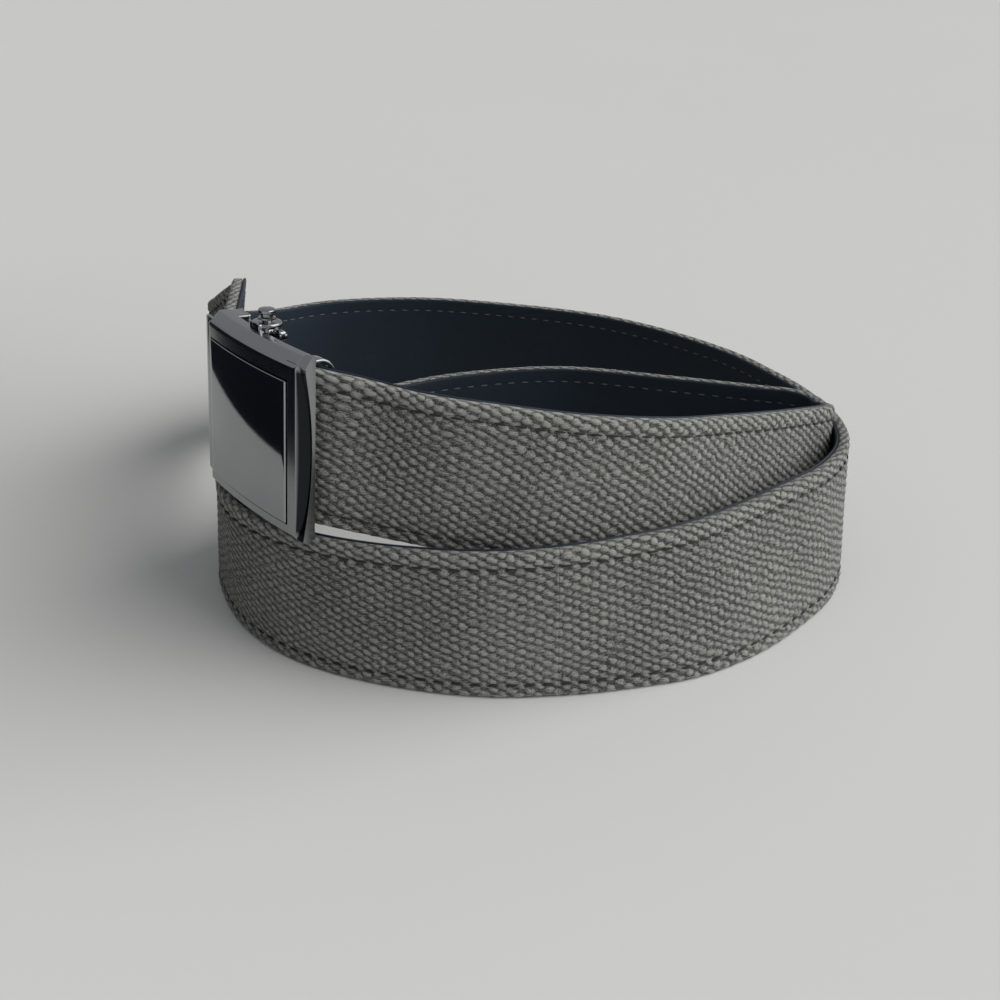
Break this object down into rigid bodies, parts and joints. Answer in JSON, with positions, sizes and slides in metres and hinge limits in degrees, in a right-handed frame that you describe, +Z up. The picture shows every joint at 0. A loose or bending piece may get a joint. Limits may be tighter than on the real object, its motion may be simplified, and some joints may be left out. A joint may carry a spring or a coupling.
{
  "type": "ratchet belt",
  "caption": "Fastened ratchet belt of woven canvas over leather, coiled in two turns on its edge, with a polished gunmetal buckle and a sprung release lever.",
  "frame": {"origin": "on the floor, under the middle of the coil's bounding box", "axes": "+Z up from the floor, +X to the right and +Y away from a viewer who faces the buckle"},
  "size_m": [0.173, 0.181, 0.0797],
  "materials": {
    "canvas": "grey woven canvas with a raised staggered weave",
    "leather": "smooth, very dark navy leather",
    "track": "black moulded plastic",
    "gunmetal": "polished dark gunmetal plating",
    "mirror_gunmetal": "mirror-polished dark gunmetal plating"
  },
  "bodies": {
    "belt": {"strap_canvas": "canvas", "strap_leather": "leather", "ratchet_track": "track", "buckle_frame": "gunmetal", "face_plate": "mirror_gunmetal", "pivot_pin": "gunmetal"},
    "lever": {"release_lever": "gunmetal"}
  },
  "joints": [
    {"name": "lever_hinge", "type": "hinge", "parent": "belt", "child": "lever", "pos_m": [-0.05107, -0.06189, 0.07626], "axis": [0.0569, 0.0433, 0.9974], "range_deg": [0, 18], "stiffness_Nm_per_rad": 0.02, "springref_deg": -11.46}
  ]
}
